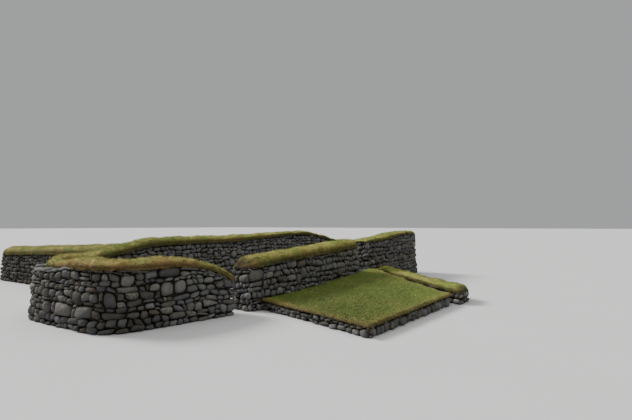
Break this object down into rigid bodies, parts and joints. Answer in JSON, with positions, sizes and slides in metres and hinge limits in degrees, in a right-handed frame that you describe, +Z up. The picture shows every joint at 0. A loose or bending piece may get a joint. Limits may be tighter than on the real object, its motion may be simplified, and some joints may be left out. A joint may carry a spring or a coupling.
{
  "type": "roofless turf house",
  "caption": "Roofless bow-sided longhouse of thick drystone walls capped with turf, with two doorways, a raised grass terrace, a low wall beside it and a yard wall.",
  "frame": {"origin": "centre of the whole group's footprint, on the floor", "axes": "+X along the house from the near gable to the far gable, +Y from the doorways' side to the yard wall's side, +Z up"},
  "size_m": [20.4, 22.2, 2.5681],
  "materials": {
    "drystone": "matte",
    "dry_turf": "matte",
    "green_turf": "matte",
    "terrace_grass": "matte",
    "packed_earth": "matte"
  },
  "bodies": {
    "root": {"near_gable_wall": "drystone", "near_front_corner": "drystone", "front_wall_near": "drystone", "front_wall_middle_1": "drystone", "front_wall_middle_2": "drystone", "far_doorway_threshold": "drystone", "front_wall_far_1": "drystone", "front_wall_far_2": "drystone", "far_front_corner": "drystone", "far_gable_wall": "drystone", "far_back_corner": "drystone", "back_wall_far": "drystone", "back_wall_middle_1": "drystone", "back_wall_middle_2": "drystone", "back_wall_near": "drystone", "near_back_corner": "drystone", "near_gable_turf": "dry_turf", "near_front_corner_turf": "dry_turf", "front_wall_near_turf": "dry_turf", "front_wall_middle_1_turf": "dry_turf", "front_wall_middle_2_turf": "dry_turf", "front_wall_far_1_turf": "dry_turf", "front_wall_far_2_turf": "dry_turf", "far_front_corner_turf": "dry_turf", "far_gable_turf": "green_turf", "far_back_corner_turf": "green_turf", "back_wall_far_turf": "green_turf", "back_wall_middle_1_turf": "green_turf", "back_wall_middle_2_turf": "green_turf", "back_wall_near_turf": "green_turf", "near_back_corner_turf": "green_turf", "terrace_near_wall": "drystone", "terrace_front_wall": "drystone", "terrace_slot_wall": "drystone", "terrace_earth": "packed_earth", "terrace_turf": "terrace_grass", "low_wall": "drystone", "low_wall_turf": "green_turf", "yard_wall_inner": "drystone", "yard_wall_outer": "drystone", "yard_wall_inner_turf": "green_turf", "yard_wall_outer_turf": "green_turf"}
  },
  "joints": []
}
